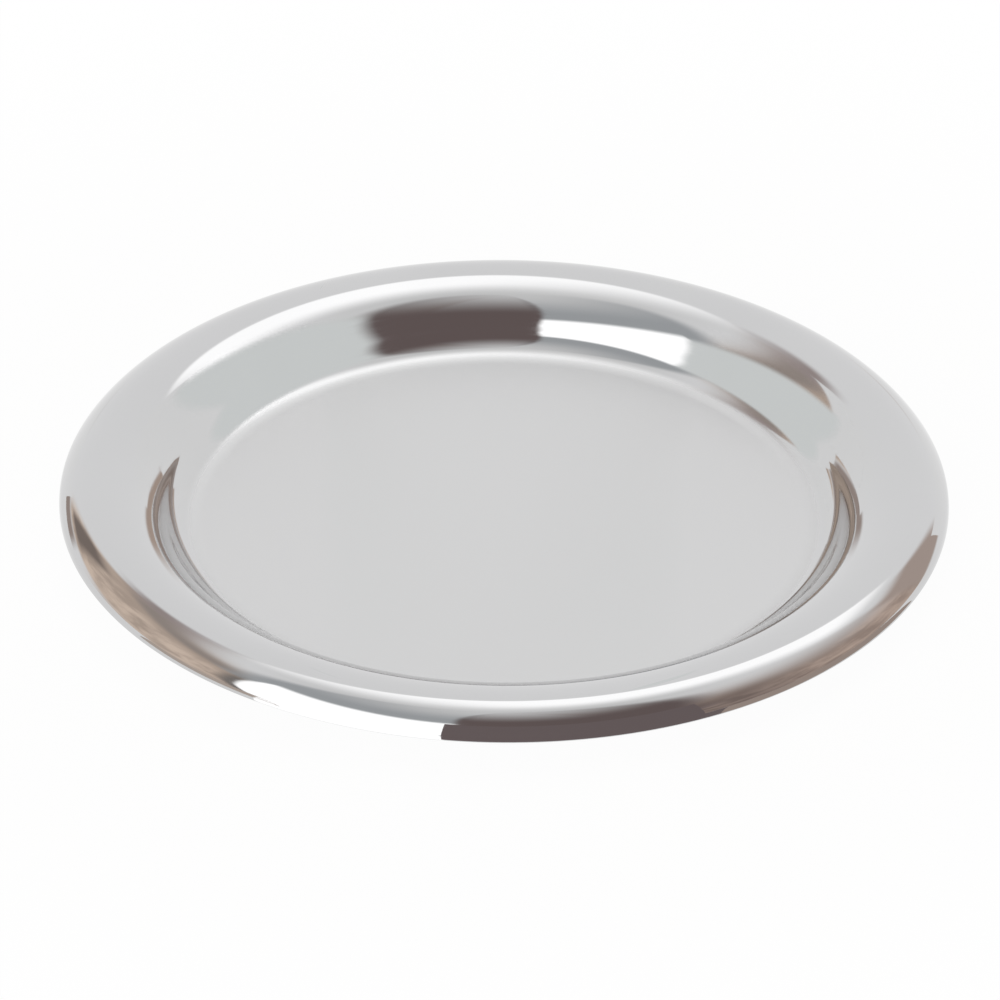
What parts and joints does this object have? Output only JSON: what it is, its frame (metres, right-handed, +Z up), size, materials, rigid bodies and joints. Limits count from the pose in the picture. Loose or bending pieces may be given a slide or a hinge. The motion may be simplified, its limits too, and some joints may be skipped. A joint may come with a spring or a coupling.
{
  "type": "coin tray",
  "caption": "Round polished steel coin tray: a flat floor, a short sloped wall and a broad rounded rim turned down at its edge. Holds change on a counter.",
  "frame": {"origin": "centre of the flat underside that the tray stands on", "axes": "+Z up along the axis of the round tray; X and Y are level, and any turn about Z is alike"},
  "size_m": [0.14, 0.14, 0.0093],
  "materials": {
    "polished_steel": "polished"
  },
  "bodies": {
    "root": {"pressed_tray": "polished_steel"}
  },
  "joints": []
}
